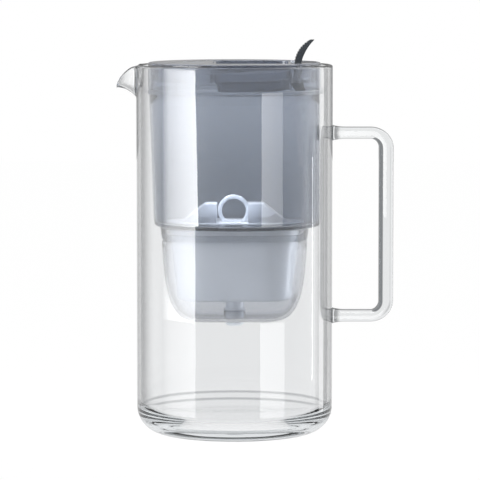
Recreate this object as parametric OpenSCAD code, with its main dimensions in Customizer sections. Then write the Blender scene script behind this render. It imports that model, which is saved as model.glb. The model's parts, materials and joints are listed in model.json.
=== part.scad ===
// Water filter jug: a clear glass jug with a drooping beak spout and a glass bar handle.
// A tinted hopper hangs inside it on a silicone ring and carries an oval filter cartridge.
// The lid drops into the hopper, and its filling flap tips open on a thumb lever.
// The jug's axis is Z and its foot is at z = 0. The beak points to -X and the handle to +X.

/* [Glass jug] */
// Outer diameter of the glass body
jug_d = 140; // [136:1:150]
// Height of the glass body
jug_h = 263.7; // [255:0.1:280]
// Thickness of the glass wall
jug_wall = 3.2; // [2.8:0.1:3.8]
// Thickness of the glass floor
jug_floor = 9.8; // [6:0.1:14]
// Outer radius where the wall turns into the foot
heel_r = 19; // [12:0.5:22]
// Inner radius where the wall turns into the floor
well_r = 15; // [8:0.5:20]
// How far the fire-rounded rim stands out from the wall
rim_lip = 0.6; // [0.3:0.1:1.2]

/* [Beak spout] */
// Reach of the beak beyond the glass wall
beak_reach = 14.2; // [10:0.1:20]
// Drop from the jug's rim to the beak's tip
beak_drop = 15.5; // [12:0.1:18]
// Drop from the jug's rim to the root of the beak's underside
beak_root_drop = 23.4; // [20:0.1:28]
// Width of the beak where it leaves the wall
beak_w = 18; // [14:0.5:24]
// Thickness of the beak's glass
beak_glass = 2; // [1.6:0.1:2.6]

/* [Handle] */
// Reach of the handle beyond the glass wall
handle_reach = 43.6; // [36:0.1:52]
// Thickness of the grip, seen from the side
grip_t = 10.7; // [8:0.1:13]
// Thickness of the two arms, seen from the side
arm_t = 8.6; // [7:0.1:11]
// Width of the bar, seen from the end
handle_w = 12; // [9:0.5:15]
// Drop from the jug's rim to the middle of the upper arm
upper_arm_drop = 48.8; // [40:0.1:60]
// Height of the middle of the lower arm
lower_arm_z = 83.8; // [70:0.1:95]
// Bend radius of the bar's centre line
handle_bend_r = 11; // [9:0.5:18]
// Growth of the bar where it is welded to the wall
weld_flare = 2.4; // [1:0.1:4]

/* [Hopper] */
// Gap between the glass and the hopper's rim, all round
hopper_gap = 5.1; // [4.6:0.1:6.5]
// Height of the hopper from its floor to its rim
hopper_h = 113.6; // [100:0.1:118]
// Wall thickness of the hopper
hopper_wall = 2; // [1.6:0.1:2.6]
// Thickness of the hopper's floor
hopper_floor = 2.2; // [1.8:0.1:3]
// How much narrower the hopper's floor is than its rim, on the beak's side
hopper_draft = 4.3; // [2:0.1:6]
// Height of the oval neck under the hopper's floor
neck_h = 10; // [8:0.1:14]
// Height of the cup that hangs from the neck
cup_h = 59.5; // [59:0.1:64]
// Wall thickness of the neck and the cup
cup_wall = 2; // [1.6:0.1:2.4]
// Height of the boss in the cup's bottom
boss_h = 7.5; // [6:0.1:8]
// Height of the groove round the hopper that seats the silicone ring
ring_h = 3; // [2.6:0.1:5]
// Drop from the hopper's rim to the top of the ring's groove
ring_drop = 16; // [14:0.1:20]
// Opening angle of the silicone ring at the beak
ring_gap_angle = 44; // [30:1:70]

/* [Filter cartridge] */
// Distance between the two round ends' centres
oval_pitch = 40.6; // [36:0.1:44]
// End radius of the cartridge under its flange
cart_r = 26.2; // [25:0.1:27]
// End radius of the cartridge at its bottom
cart_foot_r = 20.7; // [18:0.1:22]
// Depth of the cartridge below its flange
cart_h = 53.9; // [50:0.1:55]
// Wall thickness of the cartridge
cart_wall = 1.5; // [1.2:0.1:2]
// How far the flange stands out from the cartridge
flange_out = 3; // [2.6:0.1:3.2]
// Thickness of the shell's flange
flange_t = 1.1; // [0.8:0.1:1.5]
// Thickness of the cap's plate
cap_t = 0.8; // [0.6:0.1:1.2]
// Height of the two wings above the cap's plate
wing_h = 13.3; // [10:0.1:15]
// Length of the two wings together, at their foot
wing_l = 76; // [70:0.5:78]
// Length of the two wings together, at their top
wing_top_l = 42; // [36:0.5:46]
// Width of the wings at their foot
wing_w = 35; // [30:0.5:40]
// Gap between the two wings
wing_gap = 22.2; // [20:0.1:25]
// Number of inlet slits in each wing
slit_count = 5; // [3:1:7]
// Outer radius of the pull ring
pull_r = 11.4; // [11:0.1:12]
// Thickness of the pull ring's band
pull_band = 2.8; // [2:0.1:3.4]
// Width of the pull ring
pull_w = 4; // [3:0.1:5]
// Diameter of the outlet spigot
spigot_d = 13; // [11:0.1:14]
// Bore of the outlet spigot
spigot_bore = 8; // [6:0.1:9]
// Depth of the ion exchange resin
resin_h = 23; // [18:0.1:25]
// Depth of the activated carbon
carbon_h = 17; // [12:0.1:19]
// Thickness of the fleece between the two beds
fleece_t = 2; // [1:0.1:3]
// Thickness of the inlet and outlet screens
screen_t = 1.2; // [0.8:0.1:1.8]
// How far the cartridge lifts under the closed lid
cart_lift = 60; // [40:1:62]

/* [Lid and flap] */
// How far the lid's top stands above the glass rim
lid_proud = 1.6; // [0.5:0.1:3]
// Thickness of the lid's plate
lid_t = 2.7; // [2:0.1:3.2]
// Depth of the lid's skirt below its plate
skirt_h = 10.6; // [8:0.1:12]
// Wall thickness of the lid's skirt and of the flap
skin_t = 1.7; // [1.4:0.1:2]
// Distance from the hinge axis to the hopper's rim
hinge_inset = 15.7; // [15:0.1:18]
// Drop from the lid's top to the hinge axis
hinge_drop = 5.8; // [5:0.1:6.5]
// Length of the flap at its top
flap_l = 54.8; // [44:0.1:56]
// Width of the flap
flap_w = 66; // [50:0.5:70]
// Depth of the flap's dish
flap_h = 21.1; // [16:0.1:22]
// Corner radius of the flap, seen from above
flap_corner_r = 7.3; // [6:0.1:10]
// Widest opening angle of the flap
flap_angle = 42; // [30:1:42]
// Diameter of the hinge pin
pin_d = 3; // [2:0.1:3.2]
// Width of the thumb lever
lever_w = 16; // [12:0.1:18]
// Number of grip grooves on the lever's horn
groove_count = 9; // [5:1:12]

/* [Hidden] */
$fn = 96;

// Clearances: a close fit, a running fit and an easy one
fit = 0.05;
run = 0.4;
easy = 0.5;
// Overlap that keeps cuts clean
cut = 1;

// Glass jug
jug_r = jug_d / 2;
bore_r = jug_r - jug_wall;
rim_r = (jug_wall + rim_lip) / 2 - 0.02;

// Beak spout
beak_tip_z = jug_h - beak_drop;
beak_lip_z = jug_h - 1.7;
beak_root_z = jug_h - beak_root_drop;
beak_edge_t = 1;
beak_steps = 12;
beak_sides = 14;

// Levels, from the lid down to the cup's boss
lid_top_z = jug_h + lid_proud;
seat_z = lid_top_z - lid_t;
floor_z = seat_z - hopper_h;
floor_top_z = floor_z + hopper_floor;
ledge_z = floor_z + 0.5;
ledge_t = 2.2;
joint_z = floor_z - neck_h;
cup_z = joint_z - cup_h;
boss_z = cup_z + boss_h;

// Hopper
hopper_r = bore_r - hopper_gap;
hopper_foot_r = hopper_r - hopper_draft / 2;
hopper_shift = hopper_draft / 2 - 0.2;
hopper_edge = 2;
groove_t = 0.6;
groove_foot_h = 0.8;
band_drop = ring_drop + ring_h + groove_foot_h;
band_step = 0.6;
band_z = seat_z - band_drop;
hopper_tilt = atan(hopper_shift / (band_z - floor_z));
ring_top_z = seat_z - ring_drop;
ring_z = ring_top_z - ring_h;
ring_band = 2.7;

// Cartridge and the oval socket that takes it
oval = oval_pitch / 2;
flange_r = cart_r + flange_out;
socket_r = flange_r + easy;
ledge_r = cart_r + 1;
neck_in_r = socket_r + 0.2;
cup_r = neck_in_r + cup_wall;
neck_r = cup_r + 1.1;
collar_h = 5;
collar_t = 1.6;
cup_step = 0.7;
cup_step_h = 1.2;
cup_draft = 0.1;
cup_power = 3.5;
cart_z = ledge_z - cart_h;
cart_floor_z = cart_z + cart_wall;
land_h = 2.6;
plate_z = ledge_z + flange_t;
cap_z = plate_z + cap_t;
spigot_r = spigot_d / 2;
spigot_out = 2.5;
boss_r = spigot_r + 1.25;
seal_t = 1.2;
collar_z = boss_z + seal_t;
resin_z = cart_floor_z + screen_t;
fleece_z = resin_z + resin_h;
carbon_z = fleece_z + fleece_t;
screen_z = carbon_z + carbon_h;
slit_w = 1.2;
pull_x = -0.5;
pull_foot_t = 1.2;
pull_z = cap_z + 7.9;
wing_x = -1.5;

// Lid, flap and lever
lid_r = hopper_r;
lid_edge_r = 1.6;
skirt_r = hopper_r - hopper_wall - run;
hinge_x = hopper_r - hinge_inset;
hinge_z = lid_top_z - hinge_drop;
flap_x1 = hinge_x - 6;
flap_x0 = flap_x1 - flap_l;
flap_top_z = lid_top_z - 0.2;
flap_slant = 3.8;
flap_rise = 3.5;
hole_x1 = hinge_x - 2.4;
hole_corner_r = flap_corner_r - 2.5;
pin_r = pin_d / 2;
ear_r = 3.2;
ear_t = 4.4;
ear_y = lever_w / 2 + easy;
knuckle_r = 3.6;
slot_x1 = hinge_x + 12.6;

// Point of a half ellipse from one lip over the keel to the other, t from 0 to 180
function half_oval(w, top, keel, t) = [w * cos(t), top - (top - keel) * sin(t)];

// Beak outline against the share of its reach, from 0 at the wall to 1 at the tip
function share(u) = min(max(u / beak_reach, 0), 1);
function beak_fall(u) = pow(1 - pow(share(u), 1.5), 2 / 3);
function beak_lip(u) = beak_tip_z + (beak_lip_z - beak_tip_z) * beak_fall(u);
function beak_keel(u) = beak_tip_z - beak_edge_t
    - (beak_tip_z - beak_edge_t - beak_root_z) * pow(1 - share(u), 2.2);
function beak_half_w(u) = 1.6 + (beak_w / 2 - 1.6) * pow(1 - pow(share(u), 1.7), 0.8);
function beak_skin(u) = min(beak_glass, 0.42 * (beak_lip(u) - beak_keel(u)));

// Section of the beak at reach u, drawn in by skin; a channel's section also rises past the lip
function beak_ring(u, x, skin, rise) =
    let (w = beak_half_w(u) - skin,
         lip = beak_lip(u))
    concat(
        rise > 0 ? [[x, w, lip + rise]] : [],
        [for (k = [0 : beak_sides])
            let (p = half_oval(w, lip, beak_keel(u) + skin, 180 * k / beak_sides))
            [x, p[0], p[1]]],
        rise > 0 ? [[x, -w, lip + rise]] : []);

// Reach of the beak's sections: two inside the wall, the rest out to the tip
beak_us = [for (k = [-2 : beak_steps]) k < 0 ? 2 * k : beak_reach * k / beak_steps];

// Centre line of the handle: stations of [x, z, direction, thickness, width]
upper_arm_z = jug_h - upper_arm_drop;
grip_x = jug_r + handle_reach - grip_t / 2;
bend_x = grip_x - handle_bend_r;
bend_steps = 6;
handle_sides = 20;
function flared(x) = weld_flare * pow(max(1 - (x - jug_r) / 9, 0), 2);
function arm_station(x, z, turn) = [x, z, turn, arm_t + flared(x), handle_w + flared(x)];
function bend_station(k, z, side) =
    let (a = 90 * k / bend_steps, blend = k / bend_steps)
    [bend_x + handle_bend_r * sin(a), z + side * handle_bend_r * cos(a), -side * a,
     arm_t + (grip_t - arm_t) * blend, handle_w];
arm_xs = [jug_r - 4, jug_r, jug_r + 1.5, jug_r + 3, jug_r + 5, jug_r + 9];
handle_line = concat(
    [for (x = arm_xs) arm_station(x, upper_arm_z, 0)],
    [for (k = [0 : bend_steps]) bend_station(k, upper_arm_z - handle_bend_r, 1)],
    [for (k = [bend_steps : -1 : 0]) bend_station(k, lower_arm_z + handle_bend_r, -1)],
    [for (i = [len(arm_xs) - 1 : -1 : 0]) arm_station(arm_xs[i], lower_arm_z, 0)]);

// A rounded bar's section across a station, squared off a little
function bulge(c) = sign(c) * pow(abs(c), 0.72);
function bar_ring(s, way) = [
    for (i = [0 : handle_sides - 1])
        let (a = 360 * i / handle_sides,
             across = s[3] / 2 * bulge(cos(a)),
             wide = s[4] / 2 * bulge(sin(a)))
        [s[0] - way * across * sin(s[2]), wide, s[1] + way * across * cos(s[2])]
];

// Skins a list of rings into one closed solid
module loft(rings) {
    n = len(rings[0]);
    last = (len(rings) - 1) * n;
    polyhedron(
        points = [for (ring = rings) each ring],
        faces = concat(
            [[for (i = [0 : n - 1]) i]],
            [for (r = [0 : len(rings) - 2], i = [0 : n - 1])
                let (j = (i + 1) % n, a = r * n)
                [a + i, a + n + i, a + n + j, a + j]],
            [[for (i = [n - 1 : -1 : 0]) last + i]]),
        convexity = 8);
}

// A solid of oval plan: half a turned profile at each end and a straight run between
module oval_solid(profile) {
    for (turn = [0, 180])
        rotate([0, 0, turn])
            translate([oval, 0, 0])
                rotate([0, 0, -90])
                    rotate_extrude(angle = 180)
                        polygon(profile);
    rotate([90, 0, 90])
        linear_extrude(oval_pitch, center = true) {
            polygon(profile);
            mirror([1, 0])
                polygon(profile);
        }
}

// A tapered oval block from z0 to z1
module oval_block(z0, r0, z1, r1) {
    oval_solid([[0, z0], [r0, z0], [r1, z1], [0, z1]]);
}

// A flat outline in X and Z, given a width along Y
module side_plate(w) {
    rotate([90, 0, 0])
        linear_extrude(w, center = true)
            children();
}

// A rectangle with round corners between two corners, on the plan
module round_plan(x0, x1, w, r) {
    translate([x0 + r, -w / 2])
        square([x1 - x0 - 2 * r, w]);
    translate([x0, r - w / 2])
        square([x1 - x0, w - 2 * r]);
    for (x = [x0 + r, x1 - r], y = [r - w / 2, w / 2 - r])
        translate([x, y])
            circle(r);
}

// Profile of a round vessel's inside or outside with a rounded bottom corner
module vessel_profile(r, corner, z0, z1) {
    translate([0, z0])
        square([r - corner, z1 - z0]);
    translate([0, z0 + corner])
        square([r, z1 - z0 - corner]);
    translate([r - corner, z0 + corner])
        circle(corner);
}

module beak() {
    difference() {
        loft([for (u = beak_us) beak_ring(u, -jug_r - u, 0, 0)]);
        loft([for (u = beak_us)
            let (end = u < beak_reach ? 0 : cut)
            beak_ring(u, -jug_r - u - end, beak_skin(u), cut)]);
        cylinder(h = lid_top_z, r = bore_r);
    }
}

module beak_mouth() {
    top = jug_h + cut;
    w = beak_half_w(0) - beak_glass;
    translate([-jug_r - 1.2, 0, 0])
        rotate([90, 0, 90])
            linear_extrude(jug_wall + 5)
                polygon(concat(
                    [[-w, top]],
                    [for (i = [beak_sides : -1 : 0])
                        half_oval(w, beak_lip_z, beak_root_z + beak_glass, 180 * i / beak_sides)],
                    [[w, top]]));
}

module jug_glass() {
    color([0.90, 0.94, 0.95, 0.45]) {
        difference() {
            rotate_extrude() {
                difference() {
                    vessel_profile(jug_r, heel_r, 0, jug_h - rim_r);
                    vessel_profile(bore_r, well_r, jug_floor, jug_h + cut);
                }
                translate([jug_r + rim_lip - rim_r, jug_h - rim_r])
                    circle(rim_r);
            }
            beak_mouth();
        }
        beak();
    }
}

module handle() {
    color([0.88, 0.92, 0.93, 0.6])
        difference() {
            loft([for (i = [0 : len(handle_line) - 1])
                bar_ring(handle_line[i], i < len(handle_line) / 2 ? 1 : -1)]);
            translate([0, 0, -cut])
                cylinder(h = jug_h, r = jug_r);
        }
}

// The hopper's tilted cone, its wall drawn in by inset
module hopper_cone(inset, z0) {
    reach = 12;
    span = band_z - floor_z;
    top_r = hopper_r - band_step;
    slope = (top_r - hopper_foot_r) / span;
    intersection() {
        translate([hopper_shift, 0, floor_z])
            rotate([0, -hopper_tilt, 0])
                translate([0, 0, -reach])
                    cylinder(h = span + 2 * reach, r1 = hopper_foot_r - slope * reach - inset,
                             r2 = top_r + slope * reach - inset);
        translate([0, 0, z0])
            cylinder(h = band_z - z0, r = jug_r);
    }
}

module funnel() {
    color([0.52, 0.55, 0.60, 0.7])
        difference() {
            union() {
                intersection() {
                    hopper_cone(0, floor_z);
                    translate([hopper_shift, 0, floor_z])
                        cylinder(h = hopper_h, r1 = hopper_foot_r - hopper_edge,
                                 r2 = hopper_foot_r - hopper_edge + hopper_h);
                }
                translate([0, 0, band_z])
                    cylinder(h = band_drop, r = hopper_r);
                oval_block(joint_z, cup_r, floor_z + 0.1, neck_r);
            }
            translate([0, 0, ring_z])
                difference() {
                    cylinder(h = ring_h, r = hopper_r + cut);
                    translate([0, 0, -cut])
                        cylinder(h = ring_h + 2 * cut, r = hopper_r - groove_t);
                }
            hopper_cone(hopper_wall, floor_top_z);
            translate([0, 0, band_z - 0.01])
                cylinder(h = band_drop + cut, r = hopper_r - hopper_wall);
            oval_block(ledge_z, socket_r, floor_top_z + cut, socket_r);
            oval_block(ledge_z - ledge_t - cut, ledge_r, ledge_z + cut, ledge_r);
            oval_block(joint_z - cut, neck_in_r, ledge_z - ledge_t, neck_in_r);
        }
}

module grip_ring() {
    foot_r = hopper_r - groove_t + fit;
    band_r = hopper_r + ring_band;
    lip_r = bore_r - fit;
    z0 = ring_z + fit;
    z1 = ring_top_z - fit;
    lip_step = (z1 - z0) / 10;
    color([0.80, 0.82, 0.85])
        rotate([0, 0, 180 + ring_gap_angle / 2])
            rotate_extrude(angle = 360 - ring_gap_angle) {
                translate([foot_r, z0])
                    square([band_r - foot_r, z1 - z0]);
                for (k = [2, 6])
                    translate([0, z0 + k * lip_step])
                        polygon([[band_r - 0.2, 0], [band_r, 0], [lip_r, lip_step],
                                 [lip_r, 1.8 * lip_step], [band_r - 0.2, 2 * lip_step]]);
            }
}

// End radius of the cup, f from 0 at its rim to 1 at its bottom
function cup_end_r(f, inset) = (cup_r - inset) * (1 - cup_draft * f) * pow(1 - pow(f, cup_power), 1 / cup_power);
function cup_outline(z1, z0, inset) = concat(
    [for (i = [0 : 18])
        let (f = sin(90 * i / 18))
        [cup_end_r(f, inset), z1 - (z1 - z0) * f]],
    [[0, z1]]);

module cartridge_cup() {
    collar_r = neck_in_r - fit;
    color([0.72, 0.75, 0.80, 0.7])
        difference() {
            union() {
                difference() {
                    oval_solid(cup_outline(joint_z, cup_z, 0));
                    oval_solid(concat(
                        [[cup_r - cup_step, joint_z + cut], [cup_r - cup_step, joint_z - cup_step_h],
                         [cup_r + cut, joint_z - cup_step_h], [cup_r + cut, joint_z + cut]]));
                    oval_solid(cup_outline(joint_z + 0.02, cup_z + cup_wall, cup_wall));
                }
                difference() {
                    oval_block(joint_z - cup_step_h, collar_r, joint_z + collar_h, collar_r);
                    oval_block(joint_z - cup_step_h - cut, collar_r - collar_t,
                               joint_z + collar_h + cut, collar_r - collar_t);
                }
                translate([0, 0, cup_z + 0.4])
                    cylinder(h = boss_h - 0.4, r = boss_r);
            }
            translate([0, 0, cup_z - cut])
                cylinder(h = boss_h + 2 * cut, r = spigot_r + 2 * fit);
        }
}

// Plan of the filling hole: its tight corners let the tipping dish swing clear
module flap_hole() {
    round_plan(flap_x0 - easy, hole_x1, flap_w + 2 * easy, hole_corner_r);
}

module lid_cover() {
    color([0.42, 0.44, 0.49, 0.8])
        difference() {
            union() {
                rotate_extrude() {
                    translate([0, seat_z])
                        square([lid_r, lid_t - lid_edge_r]);
                    translate([0, seat_z])
                        square([lid_r - lid_edge_r, lid_t]);
                    translate([lid_r - lid_edge_r, lid_top_z - lid_edge_r])
                        intersection() {
                            circle(lid_edge_r);
                            square(lid_edge_r + cut);
                        }
                    translate([skirt_r - skin_t, seat_z - skirt_h])
                        square([skin_t, skirt_h + 0.1]);
                }
                translate([0, 0, seat_z - skirt_h / 2])
                    linear_extrude(skirt_h / 2)
                        round_plan(flap_x0 - easy - skin_t, hole_x1 + skin_t,
                                   flap_w + 2 * (easy + skin_t), hole_corner_r + skin_t);
                for (side = [-1, 1])
                    translate([hinge_x, side * (ear_y + ear_t / 2), hinge_z]) {
                        rotate([90, 0, 0])
                            cylinder(h = ear_t, r = ear_r, center = true);
                        translate([-ear_r + 0.3, -ear_t / 2, 0])
                            cube([2 * ear_r - 0.6, ear_t, seat_z - hinge_z]);
                    }
            }
            translate([0, 0, seat_z])
                linear_extrude(lid_t + cut)
                    flap_hole();
            translate([0, 0, seat_z - skirt_h])
                linear_extrude(skirt_h)
                    difference() {
                        flap_hole();
                        for (side = [-1, 1])
                            translate([hinge_x - ear_r, side * (ear_y + ear_t / 2) - ear_t / 2])
                                square([2 * ear_r, ear_t]);
                    }
            translate([hinge_x - 6, -ear_y, seat_z - skirt_h])
                cube([slot_x1 - hinge_x + 6, 2 * ear_y, skirt_h + lid_t + cut]);
            translate([hinge_x, 0, hinge_z])
                rotate([90, 0, 0])
                    cylinder(h = 4 * ear_y, r = pin_r + fit, center = true);
        }
}

module hinge_pin() {
    color([0.80, 0.82, 0.84])
        translate([hinge_x, 0, hinge_z])
            rotate([90, 0, 0])
                cylinder(h = 2 * (ear_y + ear_t), r = pin_r, center = true);
}

// The dish's outline from the side, drawn in by inset
module dish_side(inset) {
    z0 = flap_top_z - flap_h;
    lean = flap_slant / flap_h;
    polygon([[flap_x0 + inset - (inset > 0 ? cut * lean : 0), flap_top_z + (inset > 0 ? cut : 0)],
             [flap_x0 + flap_slant + inset * (1 - lean), z0 + inset],
             [flap_x0 + flap_l / 2 + 4, z0 + inset],
             [flap_x1 - inset, z0 + flap_rise + inset],
             [flap_x1 - inset, flap_top_z + (inset > 0 ? cut : 0)]]);
}

module dish(inset) {
    intersection() {
        side_plate(flap_w + 2 * cut)
            dish_side(inset);
        translate([0, 0, flap_top_z - flap_h - cut])
            linear_extrude(flap_h + 3 * cut)
                round_plan(flap_x0 + inset, flap_x1 - inset, flap_w - 2 * inset,
                           flap_corner_r - inset);
    }
}

module fill_flap() {
    color([0.45, 0.47, 0.52, 0.8])
        difference() {
            dish(0);
            dish(skin_t);
        }
}

// Side outline of the lever: horn, hinge knuckle and the claw under the lid
module lever_side() {
    horn_c = [17.1, 3.3];
    horn_r = 20.55;
    hollow_c = [34.7, -2.8];
    hollow_r = 34.3;
    claw_c = [12.5, -2.6];
    claw_r = 19.3;
    throat_c = [12.4, -8.2];
    throat_r = 9.8;
    difference() {
        union() {
            intersection() {
                difference() {
                    translate(horn_c)
                        circle(horn_r);
                    translate(hollow_c)
                        circle(hollow_r);
                }
                translate([-8, -1])
                    square([30, 22.8]);
            }
            intersection() {
                difference() {
                    translate(claw_c)
                        circle(claw_r);
                    translate(throat_c)
                        circle(throat_r);
                }
                translate([-8, -30])
                    square([16, 30]);
            }
            circle(knuckle_r);
        }
        translate([-26, -40])
            square([20, 60]);
        for (k = [0 : groove_count - 1])
            let (a = 172 - 46 * k / (groove_count - 1))
            translate(horn_c + (horn_r + 0.15) * [cos(a), sin(a)])
                circle(0.5, $fn = 24);
        circle(pin_r + fit);
    }
}

module thumb_lever() {
    half = lever_w / 2;
    tip = 0.62 * half;
    color([0.33, 0.35, 0.38])
        translate([hinge_x, 0, hinge_z])
            intersection() {
                side_plate(lever_w + cut)
                    lever_side();
                rotate([90, 0, 90])
                    linear_extrude(60, center = true)
                        polygon([[-half, -30], [half, -30], [half, 4], [tip, 23], [-tip, 23], [-half, 4]]);
            }
}

// End radius of the cartridge's outside at height z
function cart_end_r(z) = cart_foot_r + (cart_r - cart_foot_r) * (z - cart_z) / (ledge_z - land_h - cart_z);

module cartridge_shell() {
    chamfer = 2.5;
    land_z = ledge_z - land_h;
    color([0.86, 0.88, 0.90])
        difference() {
            union() {
                oval_solid([[0, cart_z], [cart_foot_r - chamfer, cart_z],
                            [cart_end_r(cart_z + chamfer), cart_z + chamfer], [cart_r, land_z],
                            [cart_r, ledge_z], [flange_r, ledge_z], [flange_r, plate_z], [0, plate_z]]);
                translate([0, 0, cup_z - spigot_out + 1])
                    cylinder(h = cart_z - cup_z + spigot_out, r = spigot_r);
                translate([0, 0, cup_z - spigot_out])
                    cylinder(h = 1, r1 = spigot_r - 1, r2 = spigot_r);
                translate([0, 0, collar_z])
                    cylinder(h = seal_t, r = boss_r - 0.1);
            }
            oval_solid([[0, cart_floor_z], [cart_end_r(cart_floor_z) - cart_wall, cart_floor_z],
                        [cart_r - cart_wall, land_z], [cart_r - cart_wall, plate_z + cut],
                        [0, plate_z + cut]]);
            translate([0, 0, cup_z - spigot_out - cut])
                cylinder(h = cart_floor_z - cup_z + spigot_out + 2 * cut, r = spigot_bore / 2);
        }
}

// The two wings as one block, drawn in by inset and opened downwards when hollow
module wing_block(inset) {
    deep = inset > 0 ? cut + cap_t : 0;
    intersection() {
        side_plate(wing_w + cut)
            polygon([[-wing_l / 2 + inset, cap_z - deep], [-wing_l / 2 + inset, cap_z],
                     [-wing_top_l / 2 + inset / 2, cap_z + wing_h - inset],
                     [wing_top_l / 2 - inset / 2, cap_z + wing_h - inset],
                     [wing_l / 2 - inset, cap_z], [wing_l / 2 - inset, cap_z - deep]]);
        translate([0, 0, cap_z - deep])
            linear_extrude(wing_h + deep + cut)
                round_plan(-wing_l / 2 + inset, wing_l / 2 - inset, wing_w - 2 * inset,
                           wing_w / 2 - inset - 0.5);
        rotate([90, 0, 90])
            linear_extrude(wing_l + cut, center = true)
                polygon([[-wing_w / 2 + inset, cap_z - deep], [-wing_w / 2 + inset, cap_z + wing_h / 3],
                         [-wing_w / 3 + inset, cap_z + wing_h - inset],
                         [wing_w / 3 - inset, cap_z + wing_h - inset],
                         [wing_w / 2 - inset, cap_z + wing_h / 3], [wing_w / 2 - inset, cap_z - deep]]);
    }
}

// The valley between the wings, widened by margin
module wing_valley(margin) {
    translate([wing_x - wing_gap / 2 - margin, -wing_w, cap_z - 2 * cut])
        cube([wing_gap + 2 * margin, 2 * wing_w, wing_h + 4 * cut]);
}

module cartridge_cap() {
    skin = 1.4;
    color([0.93, 0.95, 0.97])
        difference() {
            union() {
                oval_block(plate_z, flange_r, cap_z, flange_r);
                difference() {
                    wing_block(0);
                    wing_valley(0);
                }
            }
            difference() {
                wing_block(skin);
                wing_valley(skin);
            }
            for (side = [-1, 1], k = [0 : slit_count - 1])
                translate([side * (wing_top_l / 4 + wing_l / 4) - 5,
                           (k - (slit_count - 1) / 2) * 3.6 - slit_w / 2, cap_z + 2])
                    cube([10, slit_w, wing_h]);
            translate([pull_x, 0, pull_z])
                rotate([90, 0, 0])
                    cylinder(h = pull_w + 2 * fit, r = pull_r + fit, center = true);
        }
    // The plate under the ring stays whole
    color([0.93, 0.95, 0.97])
        translate([pull_x - pull_r, -pull_w / 2 - 1, plate_z])
            cube([2 * pull_r, pull_w + 2, cap_t]);
}

module pull_ring() {
    foot = 2 * pull_r - 8;
    eye_z = cap_z + pull_foot_t;
    color([0.95, 0.96, 0.98])
        intersection() {
            side_plate(pull_w)
                difference() {
                    union() {
                        translate([pull_x, pull_z])
                            circle(pull_r);
                        translate([pull_x - foot / 2, cap_z])
                            square([foot, pull_z - cap_z]);
                    }
                    intersection() {
                        translate([pull_x, pull_z])
                            circle(pull_r - pull_band);
                        translate([pull_x - pull_r, eye_z])
                            square([2 * pull_r, 2 * pull_r]);
                    }
                }
            translate([pull_x - 2 * pull_r, -pull_w, cap_z])
                cube([4 * pull_r, 2 * pull_w, 3 * pull_r]);
        }
}

module rim_seal() {
    z0 = ledge_z - 2;
    z1 = ledge_z - fit;
    r0 = cart_r + fit;
    r1 = ledge_r - fit;
    color([0.55, 0.58, 0.62])
        oval_solid([[r0, z0], [r1, z0 + 0.3], [r1, z1], [r0, z1]]);
}

module spigot_seal() {
    color([0.55, 0.58, 0.62])
        translate([0, 0, boss_z])
            difference() {
                cylinder(h = seal_t, r = boss_r - 0.1);
                translate([0, 0, -cut])
                    cylinder(h = seal_t + 2 * cut, r = spigot_r + fit);
            }
}

// End radius of what fills the cartridge at height z
function bed_r(z) = cart_end_r(min(z, ledge_z - land_h)) - cart_wall - fit;

module bed(z0, z1) {
    oval_block(z0, bed_r(z0), z1, bed_r(z1));
}

// A screen plate with rows of slits across it
module screen(z0) {
    pitch = 6;
    rows = floor((oval_pitch + cart_foot_r) / pitch / 2);
    difference() {
        bed(z0, z0 + screen_t);
        for (k = [-rows : rows])
            translate([k * pitch - slit_w / 2, -cart_foot_r / 2, z0 - cut])
                cube([slit_w, cart_foot_r, screen_t + 2 * cut]);
    }
}

module outlet_screen() {
    color([0.88, 0.90, 0.92])
        screen(cart_floor_z);
}

module resin_bed() {
    color([0.86, 0.72, 0.42])
        bed(resin_z, fleece_z);
}

module fleece_pad() {
    color([0.95, 0.95, 0.93])
        bed(fleece_z, carbon_z);
}

module carbon_bed() {
    color([0.13, 0.13, 0.14])
        bed(carbon_z, screen_z);
}

module inlet_screen() {
    color([0.88, 0.90, 0.92])
        screen(screen_z);
}

jug_glass();
handle();
funnel();
grip_ring();
cartridge_cup();
lid_cover();
hinge_pin();
fill_flap();
thumb_lever();
cartridge_shell();
cartridge_cap();
pull_ring();
rim_seal();
spigot_seal();
inlet_screen();
outlet_screen();
fleece_pad();
carbon_bed();
resin_bed();
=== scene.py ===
"""Looks of a water filter jug: clear glass, a smoky hopper, an oval cartridge and a flip lid."""

import json
import logging
import math
from contextlib import contextmanager
from dataclasses import dataclass, field
from enum import Enum
from typing import Iterator, Sequence

import bmesh
import bpy
import numpy as np
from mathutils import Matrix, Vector

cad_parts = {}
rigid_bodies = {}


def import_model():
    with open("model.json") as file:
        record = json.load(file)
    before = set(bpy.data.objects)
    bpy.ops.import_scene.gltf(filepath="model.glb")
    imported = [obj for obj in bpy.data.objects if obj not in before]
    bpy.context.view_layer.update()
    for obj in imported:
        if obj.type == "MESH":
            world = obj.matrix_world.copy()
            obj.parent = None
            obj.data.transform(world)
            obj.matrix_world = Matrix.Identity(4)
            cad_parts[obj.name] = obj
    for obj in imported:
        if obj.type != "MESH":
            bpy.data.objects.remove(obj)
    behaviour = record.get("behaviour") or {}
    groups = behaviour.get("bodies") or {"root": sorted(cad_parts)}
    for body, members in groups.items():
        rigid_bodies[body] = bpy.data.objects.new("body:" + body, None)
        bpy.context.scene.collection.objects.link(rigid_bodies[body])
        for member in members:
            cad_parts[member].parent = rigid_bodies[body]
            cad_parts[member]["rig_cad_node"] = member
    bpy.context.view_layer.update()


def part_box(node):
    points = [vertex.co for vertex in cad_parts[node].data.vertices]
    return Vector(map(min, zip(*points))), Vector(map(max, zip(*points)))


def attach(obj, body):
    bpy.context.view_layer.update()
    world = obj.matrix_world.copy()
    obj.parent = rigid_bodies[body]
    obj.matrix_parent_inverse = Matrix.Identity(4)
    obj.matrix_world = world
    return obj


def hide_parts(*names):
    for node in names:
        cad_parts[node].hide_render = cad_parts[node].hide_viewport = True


MM = 0.001
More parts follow.
